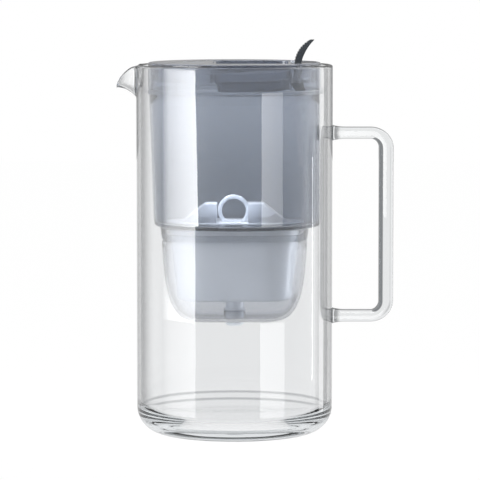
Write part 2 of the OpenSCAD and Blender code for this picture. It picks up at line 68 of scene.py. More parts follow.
LOG = logging.getLogger("jug")

Colour = tuple[float, float, float]
Place = tuple[float, float, float]
Ring = np.ndarray
Node = bpy.types.Node
Socket = bpy.types.NodeSocket
Tree = bpy.types.NodeTree

UP: Place = (0.0, 0.0, 1.0)
DOWN: Place = (0.0, 0.0, -1.0)
TO_BEAK: Place = (-1.0, 0.0, 0.0)
WHITE: Colour = (1.0, 1.0, 1.0)

BROAD_SCALE = 0.12
BUMP_HEIGHT = 0.2 * MM
ZONE_FADE = 4 * MM
GLOW_WEIGHT = 0.35
WELD_DISTANCE = 1e-6
SOLID_WELD_DISTANCE = 2e-6
FLAT_DEGREES = 0.6
BEVEL_DEGREES = 38
CREASE_DEGREES = 32
FORM_CREASE_DEGREES = 40


class Body(Enum):
    """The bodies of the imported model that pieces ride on."""

    JUG = "jug"
    HOPPER = "hopper"
    LID = "lid"
    FLAP = "flap"
    CARTRIDGE = "cartridge"


class LampRole(Enum):
    """What a lamp's light does: it lights surfaces, it shows in gloss, or both."""

    LIGHT = "light"
    GLOSS = "gloss"
    BOTH = "both"


class RaySight(Enum):
    """The kinds of ray that see the studio's white background."""

    CAMERA = "Is Camera Ray"
    GLOSSY = "Is Glossy Ray"
    TRANSMISSION = "Is Transmission Ray"


# Node helpers


def add_node(tree: Tree, kind: str, **values: object) -> Node:
    """Adds a node and sets its properties and unlinked inputs.

    Args:
        tree: the node tree that takes the node.
        kind: the node's type name.
        values: properties by name, or inputs by name with spaces as underscores.

    Returns:
        The new node.
    """
    node = tree.nodes.new(kind)
    for name, value in values.items():
        if hasattr(node, name) and not callable(getattr(node, name)):
            setattr(node, name, value)
        else:
            node.inputs[name.replace("_", " ")].default_value = value
    return node


def join(tree: Tree, *pairs: tuple[Socket, Socket]) -> None:
    """Links pairs of sockets, each from an output to an input."""
    for start, end in pairs:
        tree.links.new(start, end)


def math_node(tree: Tree, operation: str, *values: Socket | float, clamp: bool = False) -> Socket:
    """Adds a math node.

    Args:
        tree: the node tree that takes the node.
        operation: the node's operation.
        values: a socket or a number for each input.
        clamp: keeps the result between 0 and 1.

    Returns:
        The result's socket.
    """
    node = add_node(tree, "ShaderNodeMath", operation=operation, use_clamp=clamp)
    for socket, value in zip(node.inputs, values):
        if isinstance(value, float):
            socket.default_value = value
        else:
            tree.links.new(value, socket)
    return node.outputs[0]


def ramp(tree: Tree, value: Socket, low: float, high: float, start: float = 0.0, end: float = 1.0,
         kind: str = "LINEAR") -> Socket:
    """Returns a value mapped from one range to another, clamped."""
    node = add_node(tree, "ShaderNodeMapRange", interpolation_type=kind, From_Min=low, From_Max=high,
                    To_Min=start, To_Max=end)
    tree.links.new(value, node.inputs["Value"])
    return node.outputs["Result"]


def show(tree: Tree, surface: Socket, kind: str = "Material") -> Node:
    """Joins a shader to a new output node and returns that node."""
    out = tree.nodes.new(f"ShaderNodeOutput{kind}")
    tree.links.new(surface, out.inputs["Surface"])
    return out


def fresh_tree(holder: bpy.types.Material | bpy.types.World) -> Tree:
    """Returns the emptied node tree of a material or a world."""
    holder.use_nodes = True
    holder.node_tree.nodes.clear()
    return holder.node_tree


def rgba(colour: Colour) -> tuple[float, float, float, float]:
    """Returns a colour with full alpha."""
    return (*colour, 1.0)


def new_group(name: str, numbers: dict[str, float], inputs: dict[str, str],
              outputs: dict[str, str]) -> tuple[Tree, Node, Node]:
    """Makes a shader node group with its sockets.

    Args:
        name: the group's name.
        numbers: the number inputs with their defaults.
        inputs: the other inputs with their kinds, such as Vector.
        outputs: the outputs with their kinds.

    Returns:
        The group with its input node and its output node.
    """
    tree = bpy.data.node_groups.new(name, "ShaderNodeTree")
    for label, value in numbers.items():
        socket = tree.interface.new_socket(name=label, in_out="INPUT", socket_type="NodeSocketFloat")
        socket.default_value = value
    for way, sockets in (("INPUT", inputs), ("OUTPUT", outputs)):
        for label, kind in sockets.items():
            tree.interface.new_socket(name=label, in_out=way, socket_type=f"NodeSocket{kind}")
    return tree, tree.nodes.new("NodeGroupInput"), tree.nodes.new("NodeGroupOutput")


@dataclass(frozen=True)
class SurfaceGroup:
    """A shader node group that gives small changes over a surface, built once and shared."""

    name: str
    scale: float
    detail: float
    stretch: Place = (1.0, 1.0, 1.0)

    def tree(self) -> Tree:
        """Returns the group, built on first use.

        Returns:
            A group with Roughness, Spread, Tone, Depth and Colour inputs and Roughness, Tint and
            Normal outputs.
        """
        found = bpy.data.node_groups.get(self.name)
        if found is not None:
            return found
        tree, start, end = new_group(
            self.name, {"Roughness": 0.3, "Spread": 0.1, "Tone": 0.03, "Depth": 0.1},
            {"Colour": "Color"}, {"Roughness": "Float", "Tint": "Color", "Normal": "Vector"})
        given = start.outputs
        place = tree.nodes.new("ShaderNodeTexCoord").outputs["Object"]
        shape = add_node(tree, "ShaderNodeMapping", Scale=self.stretch)
        fine = add_node(tree, "ShaderNodeTexNoise", Scale=self.scale, Detail=self.detail,
                        Roughness=0.55)
        broad = add_node(tree, "ShaderNodeTexNoise", Scale=self.scale * BROAD_SCALE, Detail=2.0,
                         Roughness=0.5)
        centred = math_node(tree, "SUBTRACT", broad.outputs["Fac"], 0.5)
        rough = math_node(tree, "MULTIPLY_ADD", centred, given["Spread"], given["Roughness"], clamp=True)
        tone = math_node(tree, "MULTIPLY_ADD", centred, given["Tone"], 1.0)
        tint = add_node(tree, "ShaderNodeVectorMath", operation="SCALE")
        bump = add_node(tree, "ShaderNodeBump", Distance=BUMP_HEIGHT)
        join(tree, (place, shape.inputs["Vector"]), (shape.outputs["Vector"], fine.inputs["Vector"]),
             (place, broad.inputs["Vector"]), (rough, end.inputs["Roughness"]),
             (given["Colour"], tint.inputs[0]), (tone, tint.inputs["Scale"]),
             (tint.outputs["Vector"], end.inputs["Tint"]), (given["Depth"], bump.inputs["Strength"]),
             (fine.outputs["Fac"], bump.inputs["Height"]),
             (bump.outputs["Normal"], end.inputs["Normal"]))
        return tree


def side_mask(tree: Tree, way: Place, low: float, high: float, source: str = "Object") -> Socket:
    """Adds the shared side mask, which rises from 0 to 1 along a direction.

    Args:
        tree: the material's tree.
        way: the direction, as a unit vector in the piece's frame.
        low: the place along it where the mask is 0.
        high: the place where it is 1.
        source: Object for the place on the piece, or Normal for the way its surface faces.

    Returns:
        The mask's socket.
    """
    name = "mask_by_place" if source == "Object" else "mask_by_facing"
    group = bpy.data.node_groups.get(name)
    if group is None:
        group, start, end = new_group(name, {"Low": 0.0, "High": 1.0}, {"Way": "Vector"},
                                      {"Mask": "Float"})
        place = group.nodes.new("ShaderNodeTexCoord")
        along = add_node(group, "ShaderNodeVectorMath", operation="DOT_PRODUCT")
        share = add_node(group, "ShaderNodeMapRange", interpolation_type="SMOOTHSTEP")
        join(group, (place.outputs[source], along.inputs[0]), (start.outputs["Way"], along.inputs[1]),
             (along.outputs["Value"], share.inputs["Value"]),
             (start.outputs["Low"], share.inputs["From Min"]),
             (start.outputs["High"], share.inputs["From Max"]),
             (share.outputs["Result"], end.inputs["Mask"]))
    mask = tree.nodes.new("ShaderNodeGroup")
    mask.node_tree = group
    for label, value in (("Way", way), ("Low", low), ("High", high)):
        mask.inputs[label].default_value = value
    return mask.outputs["Mask"]


def blend_colours(tree: Tree, share: Socket, first: Socket, second: Colour) -> Socket:
    """Returns a colour socket that goes from the first colour to the second as the share rises."""
    mix = add_node(tree, "ShaderNodeMix", data_type="RGBA")
    join(tree, (share, mix.inputs["Factor"]), (first, mix.inputs[6]))
    mix.inputs[7].default_value = rgba(second)
    return mix.outputs[2]


@dataclass(frozen=True)
class Zone:
    """A part of a piece whose base colour is changed: painted shade on the jug's beak and heel and on
    the handle's inner side, and on the hopper a darker lower chamber and a clear neck.

    It is found by its place or by the way its surface faces, and lies below a height where one
    is given.
    """

    colour: Colour
    low: float
    high: float
    way: Place = DOWN
    source: str = "Object"
    below: float | None = None

    def share(self, tree: Tree) -> Socket:
        """Returns a value that is 1 in the zone and 0 outside it."""
        share = side_mask(tree, self.way, self.low, self.high, self.source)
        if self.below is None:
            return share
        under = side_mask(tree, DOWN, -self.below - ZONE_FADE, -self.below)
        return math_node(tree, "MULTIPLY", share, under)


@dataclass(frozen=True)
class PaintedEdgeShading:
    """Painted outline light: a colour blended in where the surface turns away. It is dark on the glass
    and the cup, as painted shade at their edges, and light on the cap and the pull ring, as painted
    highlights along their outline.

    Where a low and a high height are given, it fades in from the one up to the other.
    """

    colour: Colour
    start: float
    end: float
    low: float | None = None
    high: float = 0.0

    def share(self, tree: Tree) -> Socket:
        """Returns a value that is 1 where the surface is seen edge on."""
        weight = add_node(tree, "ShaderNodeLayerWeight", Blend=0.5)
        share = ramp(tree, weight.outputs["Facing"], self.start, self.end, kind="SMOOTHSTEP")
        if self.low is None:
            return share
        return math_node(tree, "MULTIPLY", share, side_mask(tree, UP, self.low, self.high))


@dataclass(frozen=True)
class Finish:
    """A finish: one Principled surface with a shared surface group in front of it."""

    name: str
    colour: Colour
    surface: SurfaceGroup
    roughness: float
    spread: float
    tone: float
    depth: float
    metallic: float = 0.0
    ior: float = 1.5
    coat: float = 0.0
    coat_roughness: float = 0.03
    glow_depth: float = 0.0
    # zones and edge blend other colours into the base colour: painted shade and highlights on the glass,
    # the cup, the cap and the ring
    zones: tuple[Zone, ...] = ()
    edge: PaintedEdgeShading | None = None

    def material(self) -> bpy.types.Material:
        """Returns the finish as a material, built on first use."""
        found = bpy.data.materials.get(self.name)
        if found is not None:
            return found
        made = bpy.data.materials.new(self.name)
        tree = fresh_tree(made)
        shader = add_node(tree, "ShaderNodeBsdfPrincipled", Metallic=self.metallic, IOR=self.ior,
                          Coat_Weight=self.coat, Coat_Roughness=self.coat_roughness)
        if self.glow_depth > 0:
            shader.inputs["Subsurface Weight"].default_value = GLOW_WEIGHT
            shader.inputs["Subsurface Radius"].default_value = WHITE
            shader.inputs["Subsurface Scale"].default_value = self.glow_depth
        skin = tree.nodes.new("ShaderNodeGroup")
        skin.node_tree = self.surface.tree()
        for label, value in (("Roughness", self.roughness), ("Spread", self.spread),
                             ("Tone", self.tone), ("Depth", self.depth),
                             ("Colour", rgba(self.colour))):
            skin.inputs[label].default_value = value
        base = skin.outputs["Tint"]
        # Blends in the zones and the outline: painted shade and highlights where the finish has them.
        for tint in (*self.zones, self.edge):
            if tint is not None:
                base = blend_colours(tree, tint.share(tree), base, tint.colour)
        join(tree, (base, shader.inputs["Base Color"]),
             (skin.outputs["Roughness"], shader.inputs["Roughness"]),
             (skin.outputs["Normal"], shader.inputs["Normal"]))
        self.finish_shader(tree, shader)
        return made

    def finish_shader(self, tree: Tree, shader: Node) -> None:
        """Joins the surface to the material's output."""
        show(tree, shader.outputs["BSDF"])


@dataclass(frozen=True)
class ClearFinish(Finish):
    """A see-through finish: light from the lamps passes it, and its body may take some light up."""

    transmission: float = 1.0
    shade: Colour = WHITE
    body_tint: Colour = WHITE
    body_density: float = 0.0

    def finish_shader(self, tree: Tree, shader: Node) -> None:
        """Lets lamp light through, adds the body's absorption and joins both to the output."""
        shader.inputs["Transmission Weight"].default_value = self.transmission
        path = tree.nodes.new("ShaderNodeLightPath")
        clear = add_node(tree, "ShaderNodeBsdfTransparent", Color=rgba(self.shade))
        mix = tree.nodes.new("ShaderNodeMixShader")
        join(tree, (path.outputs["Is Shadow Ray"], mix.inputs[0]),
             (shader.outputs["BSDF"], mix.inputs[1]), (clear.outputs["BSDF"], mix.inputs[2]))
        out = show(tree, mix.outputs["Shader"])
        if self.body_density > 0:
            body = add_node(tree, "ShaderNodeVolumeAbsorption", Color=rgba(self.body_tint),
                            Density=self.body_density)
            tree.links.new(body.outputs["Volume"], out.inputs["Volume"])


GLASS_WAVES = SurfaceGroup("glass_waves", 26.0, 1.0, (1.0, 1.0, 0.35))
MOULDED_SKIN = SurfaceGroup("moulded_skin", 420.0, 3.0)
GRAIN = SurfaceGroup("packed_grain", 900.0, 2.0)
DRAWN_WIRE = SurfaceGroup("drawn_wire", 700.0, 2.0, (1.0, 0.04, 1.0))

GLASS_BODY = {"shade": (0.96, 0.965, 0.97), "body_tint": (0.62, 0.68, 0.72), "body_density": 3.0}
SMOKE_BODY = {"ior": 1.49, "coat_roughness": 0.5, "body_tint": (0.50, 0.52, 0.56)}
LID_BODY = {**SMOKE_BODY, "coat": 0.5, "shade": (0.84, 0.85, 0.87), "body_density": 40.0}
CLEAR_GREY = (0.90, 0.905, 0.91)

# Painted shade on the jug glass: a greyer beak, a dark band on the heel's rounded fillet, and dark
# outlines that fade in above the foot.
JUG_GLASS = ClearFinish("jug_glass_clear", CLEAR_GREY, GLASS_WAVES, 0.0, 0.0, 0.0, 0.01, **GLASS_BODY,
                        zones=(Zone((0.72, 0.725, 0.73), 0.0708, 0.0722, TO_BEAK),
                               Zone((0.34, 0.35, 0.36), 0.26, 0.31, UP, "Normal", 0.03),
                               Zone(CLEAR_GREY, 0.36, 0.44, UP, "Normal", 0.03)),
                        edge=PaintedEdgeShading((0.05, 0.055, 0.06), 0.44, 0.88, 0.006, 0.024))
# Painted shade on the handle: a dark strip on the grip's inner side and dark outlines.
HANDLE_GLASS = ClearFinish("handle_glass_clear", (0.83, 0.84, 0.845), GLASS_WAVES, 0.0, 0.0, 0.0, 0.01,
                           **GLASS_BODY,
                           zones=(Zone((0.07, 0.075, 0.08), 0.10, 0.22, TO_BEAK, "Normal"),),
                           edge=PaintedEdgeShading((0.08, 0.085, 0.09), 0.38, 0.76))
HOPPER_SMOKE = ClearFinish("hopper_smoke", (0.575, 0.615, 0.685), MOULDED_SKIN, 0.01, 0.01, 0.05, 0.02,
                           **SMOKE_BODY, coat=0.4, shade=(0.76, 0.78, 0.81), body_density=60.0,
                           zones=(Zone((0.43, 0.467, 0.53), -0.240, -0.165),
                                  Zone((0.97, 0.975, 0.98), -0.1492, -0.1482)))
LID_SMOKE = ClearFinish("lid_smoke", (0.60, 0.63, 0.69), MOULDED_SKIN, 0.02, 0.02, 0.05, 0.02,
                        **LID_BODY)
FLAP_SMOKE = ClearFinish("flap_smoke", (0.46, 0.49, 0.55), MOULDED_SKIN, 0.02, 0.02, 0.05, 0.02,
                         **LID_BODY, transmission=0.94)
# Painted shade: dark outlines on the cup where its surface turns away.
CUP_SMOKE = ClearFinish("cup_smoke", (0.80, 0.815, 0.845), MOULDED_SKIN, 0.01, 0.01, 0.04, 0.02,
                        **SMOKE_BODY, coat=1.0, shade=(0.94, 0.95, 0.96), body_density=30.0,
                        edge=PaintedEdgeShading((0.16, 0.17, 0.19), 0.35, 0.92))
RING_SILICONE = ClearFinish("grip_silicone", (0.80, 0.82, 0.85), MOULDED_SKIN, 0.12, 0.05, 0.05, 0.04,
                            ior=1.41, shade=(0.95, 0.955, 0.96))
LEVER_GLOSS = Finish("lever_gloss", (0.085, 0.096, 0.108), MOULDED_SKIN, 0.16, 0.05, 0.10, 0.02,
                     coat=0.4)
SHELL_WHITE = Finish("cartridge_white", (0.78, 0.815, 0.875), MOULDED_SKIN, 0.26, 0.06, 0.05, 0.03,
                     coat=0.5, coat_roughness=0.22, glow_depth=2 * MM)
# Painted highlight: a near-white outline along the cap's edges.
CAP_WHITE = Finish("cap_white", (0.60, 0.63, 0.68), MOULDED_SKIN, 0.36, 0.10, 0.04, 0.03,
                   glow_depth=2 * MM, edge=PaintedEdgeShading((0.97, 0.98, 1.0), 0.25, 0.7))
# Painted highlight: a near-white outline along the pull ring's edges.
RING_WHITE = Finish("pull_ring_white", (0.80, 0.83, 0.87), MOULDED_SKIN, 0.30, 0.10, 0.04, 0.03,
                    glow_depth=1.5 * MM, edge=PaintedEdgeShading((0.98, 0.99, 1.0), 0.2, 0.6))
SEAL_GREY = Finish("seal_silicone", (0.30, 0.32, 0.36), MOULDED_SKIN, 0.50, 0.15, 0.10, 0.10)
SCREEN_WHITE = Finish("screen_white", (0.78, 0.80, 0.82), MOULDED_SKIN, 0.45, 0.10, 0.05, 0.06)
FLEECE_WHITE = Finish("needled_fleece", (0.82, 0.82, 0.78), GRAIN, 0.95, 0.05, 0.20, 0.9)
CARBON_BLACK = Finish("carbon_granules", (0.025, 0.025, 0.028), GRAIN, 0.55, 0.3, 0.8, 1.0)
RESIN_AMBER = Finish("resin_beads", (0.52, 0.30, 0.09), GRAIN, 0.35, 0.2, 0.5, 1.0)
PIN_STEEL = Finish("pin_steel", (0.62, 0.63, 0.64), DRAWN_WIRE, 0.28, 0.15, 0.05, 0.2, metallic=1.0)


# Mesh helpers


def new_object(name: str, data: bpy.types.ID) -> bpy.types.Object:
    """Makes an object and links it to the scene."""
    made = bpy.data.objects.new(name, data)
    bpy.context.scene.collection.objects.link(made)
    return made


@contextmanager
def editing(mesh: bpy.types.Mesh) -> Iterator[bmesh.types.BMesh]:
    """Opens a mesh for editing and writes it back."""
    work = bmesh.new()
    work.from_mesh(mesh)
    yield work
    work.to_mesh(mesh)
    work.free()


def mesh_object(name: str, points: np.ndarray, faces: Sequence[Sequence[int]]) -> bpy.types.Object:
    """Makes a smooth-shaded object with outward normals.

    Args:
        name: the piece's name.
        points: its vertices, one row each, in metres.
        faces: its faces as lists of vertex numbers.

    Returns:
        The object, linked to the scene.
    """
    mesh = bpy.data.meshes.new(name)
    mesh.from_pydata([tuple(p) for p in points], [], [list(f) for f in faces])
    with editing(mesh) as work:
        bmesh.ops.remove_doubles(work, verts=work.verts, dist=WELD_DISTANCE)
        bmesh.ops.recalc_face_normals(work, faces=work.faces)
        for face in work.faces:
            face.smooth = True
    return new_object(name, mesh)


def crease_by_angle(piece: bpy.types.Object, degrees: float) -> None:
    """Marks edges sharper than an angle, so that flats stay flat beside them."""
    limit = math.radians(degrees)
    with editing(piece.data) as work:
        for edge in work.edges:
            edge.smooth = len(edge.link_faces) != 2 or edge.calc_face_angle(0.0) < limit


def loft(name: str, rings: np.ndarray, looped: bool = False) -> bpy.types.Object:
    """Skins a stack of closed rings with the same number of points.

    Args:
        name: the piece's name.
        rings: an array of rings by points by coordinates.
        looped: joins the last ring to the first, as round a tube's wall, and creases the form's
            edges. Otherwise a fan closes each end.

    Returns:
        The closed piece.
    """
    count, around = rings.shape[:2]
    points = rings.reshape(-1, 3)
    faces: list[tuple[int, ...]] = []
    for k in range(count if looped else count - 1):
        a, b = k * around, ((k + 1) % count) * around
        faces += [(a + j, a + (j + 1) % around, b + (j + 1) % around, b + j) for j in range(around)]
    if looped:
        piece = mesh_object(name, points, faces)
        crease_by_angle(piece, FORM_CREASE_DEGREES)
        return piece
    points = np.vstack([points, [rings[0].mean(axis=0), rings[-1].mean(axis=0)]])
    for hub, start in ((count * around, 0), (count * around + 1, (count - 1) * around)):
        faces += [(hub, start + j, start + (j + 1) % around) for j in range(around)]
    return mesh_object(name, points, faces)


def arc(cx: float, cz: float, radius: float, start: float, end: float,
        steps: int) -> list[tuple[float, float]]:
    """Returns points on an arc in a profile, from one angle in degrees to another."""
    angles = np.radians(np.linspace(start, end, steps + 1))
    return [(cx + radius * math.cos(a), cz + radius * math.sin(a)) for a in angles]


def run(start: tuple[float, float], end: tuple[float, float],
        steps: int) -> list[tuple[float, float]]:
    """Returns evenly spaced points between two profile points, without the last one."""
    return [(start[0] + (end[0] - start[0]) * t, start[1] + (end[1] - start[1]) * t)
            for t in np.linspace(0.0, 1.0, steps, endpoint=False)]


@dataclass(frozen=True)
class OvalPlan:
    """The cartridge's oval plan: two half circles joined by straights, with matching circles."""

    half_pitch: float
    arc_steps: int = 28
    straight_steps: int = 6
    guide_radius: float = 30 * MM

    def oval(self, radius: float, z: float) -> Ring:
        """Returns an oval ring whose round ends have this radius."""
        half_turn = np.radians(np.linspace(-90.0, 90.0, self.arc_steps + 1))
        right = [(self.half_pitch + radius * math.cos(a), radius * math.sin(a)) for a in half_turn]
        straight = np.linspace(self.half_pitch, -self.half_pitch, self.straight_steps + 2)[1:-1]
        points = right + [(x, radius) for x in straight]
        points += [(-x, -y) for x, y in points]
        return np.array([(x, y, z) for x, y in points])

    def circle(self, radius: float, z: float, shift: float = 0.0) -> Ring:
        """Returns a circle whose points lie in the same directions as the guide oval's."""
        guide = self.oval(self.guide_radius, z)
        lengths = np.hypot(guide[:, 0], guide[:, 1])[:, None]
        guide[:, :2] = guide[:, :2] / lengths * radius
        guide[:, 0] += shift
        return guide

    def ovals(self, *sizes: tuple[float, float]) -> list[Ring]:
        """Returns ovals, each from its end radius and its height."""
        return [self.oval(radius, z) for radius, z in sizes]

    def circles(self, *sizes: tuple[float, float]) -> list[Ring]:
        """Returns circles, each from its radius and its height."""
        return [self.circle(radius, z) for radius, z in sizes]


def softened(node: str, name: str, width: float, segments: int = 2) -> bpy.types.Object:
    """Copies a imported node's solid and rounds its edges as a mould does.

    Args:
        node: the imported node.
        name: the new piece's name.
        width: the width of the rounding.
        segments: faces across the rounding.

    Returns:
        The rounded piece, which stands for the node.
    """
    mesh = bpy.data.objects[node].data.copy()
    mesh.name = name
    with editing(mesh) as work:
        bmesh.ops.remove_doubles(work, verts=work.verts, dist=SOLID_WELD_DISTANCE)
        bmesh.ops.dissolve_limit(work, angle_limit=math.radians(FLAT_DEGREES), verts=work.verts,
                                 edges=work.edges)
        for face in work.faces:
            face.smooth = True
    made = new_object(name, mesh)
    bevel = made.modifiers.new("edge", "BEVEL")
    bevel.width = width
    bevel.segments = segments
    bevel.limit_method = "ANGLE"
    bevel.angle_limit = math.radians(BEVEL_DEGREES)
    bpy.context.view_layer.update()
    shown = made.evaluated_get(bpy.context.evaluated_depsgraph_get())
    baked = bpy.data.meshes.new_from_object(shown)
    made.modifiers.clear()
    made.data = baked
    crease_by_angle(made, CREASE_DEGREES)
    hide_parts(node)
    return made


def dress(piece: bpy.types.Object, finish: Finish, body: Body,
          node: str | None = None) -> None:
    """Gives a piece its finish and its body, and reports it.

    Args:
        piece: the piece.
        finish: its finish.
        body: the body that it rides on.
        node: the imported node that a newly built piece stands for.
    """
    if node is not None:
        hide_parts(node)
    piece.data.materials.clear()
    piece.data.materials.append(finish.material())
    if piece.get("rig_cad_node") is None:
        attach(piece, body.value)
    LOG.info("%s rides on %s in %s", piece.name, body.value, finish.name)


# The jug


@dataclass
class BeakShape:
    """The pulled beak: half-oval sections that droop from the rim to the tip."""

    wall_radius: float
    rim_z: float
    reach: float = 14.0 * MM
    drop: float = 15.5 * MM
    root_drop: float = 23.4 * MM
    half_width: float = 9.0 * MM
    tip_half_width: float = 1.6 * MM
    tip_edge: float = 1.0 * MM
    glass: float = 2.0 * MM
    lip_drop: float = 1.7 * MM
    skin_share: float = 0.42
    steps: int = 60
    foot_steps: int = 24

    def share(self, u: float) -> float:
        """Returns u as a share of the reach."""
        return min(max(u / self.reach, 0.0), 1.0)

    def lip(self, u: float) -> float:
        """Returns the lip's height at reach u."""
        tip = self.rim_z - self.drop
        fall = (1.0 - self.share(u) ** 1.5) ** (2.0 / 3.0)
        return tip + (self.rim_z - self.lip_drop - tip) * fall

    def keel(self, u: float) -> float:
        """Returns the underside's height at reach u."""
        tip = self.rim_z - self.drop - self.tip_edge
        root = self.rim_z - self.root_drop
        return tip - (tip - root) * (1.0 - self.share(u)) ** 2.2

    def width(self, u: float) -> float:
        """Returns the half width at reach u."""
        narrow = self.tip_half_width
        return narrow + (self.half_width - narrow) * (1.0 - self.share(u) ** 1.7) ** 0.8

    def edge_reach(self, y: float) -> float:
        """Returns the reach at which the lip stands this far from the middle, found by halving."""
        if abs(y) <= self.tip_half_width:
            return self.reach
        low, high = 0.0, self.reach
        for _ in range(40):
            middle = (low + high) / 2.0
            low, high = (middle, high) if self.width(middle) > abs(y) else (low, middle)
        return low

    def skin(self, u: float) -> float:
        """Returns the thickness of the glass at reach u."""
        return min(self.glass, self.skin_share * (self.lip(u) - self.keel(u)))

    def column(self, y: float, base_z: float, inner_radius: float | None) -> np.ndarray:
        """Returns one column of the wall, from base_z up and out to the lip.

        Args:
            y: the column's distance from the middle of the beak, on the outside.
            base_z: the height at which the column starts.
            inner_radius: the bore's radius for the inner face, or None for the outer face.

        Returns:
            The column's points.
        """
        radius = self.wall_radius if inner_radius is None else inner_radius
        inset = inner_radius is not None
        end = self.edge_reach(y)
        points = []
        across = y * ((self.half_width - self.glass) / self.half_width if inset else 1.0)
        for u in np.linspace(0.0, end, self.steps):
            skin = self.skin(u) if inset else 0.0
            half = max(self.width(u) - skin, 1e-6)
            depth = self.lip(u) - self.keel(u) - skin
            sink = math.sqrt(max(1.0 - (across / half) ** 2, 0.0))
            x = -math.sqrt(self.wall_radius ** 2 - across ** 2) - u
            points.append((x, across, self.lip(u) - depth * sink))
        foot_x = -math.sqrt(radius ** 2 - across ** 2)
        foot = [(foot_x, across, z) for z in np.linspace(base_z, points[0][2], self.foot_steps)]
        return np.array(foot + points[0 if inset else 1:])


def resample(line: np.ndarray, count: int) -> np.ndarray:
    """Returns count points evenly spaced along a line of points."""
    steps = np.linalg.norm(np.diff(line, axis=0), axis=1)
    along = np.concatenate([[0.0], np.cumsum(steps)])
    places = np.linspace(0.0, along[-1], count)
    return np.stack([np.interp(places, along, line[:, k]) for k in range(3)], axis=1)


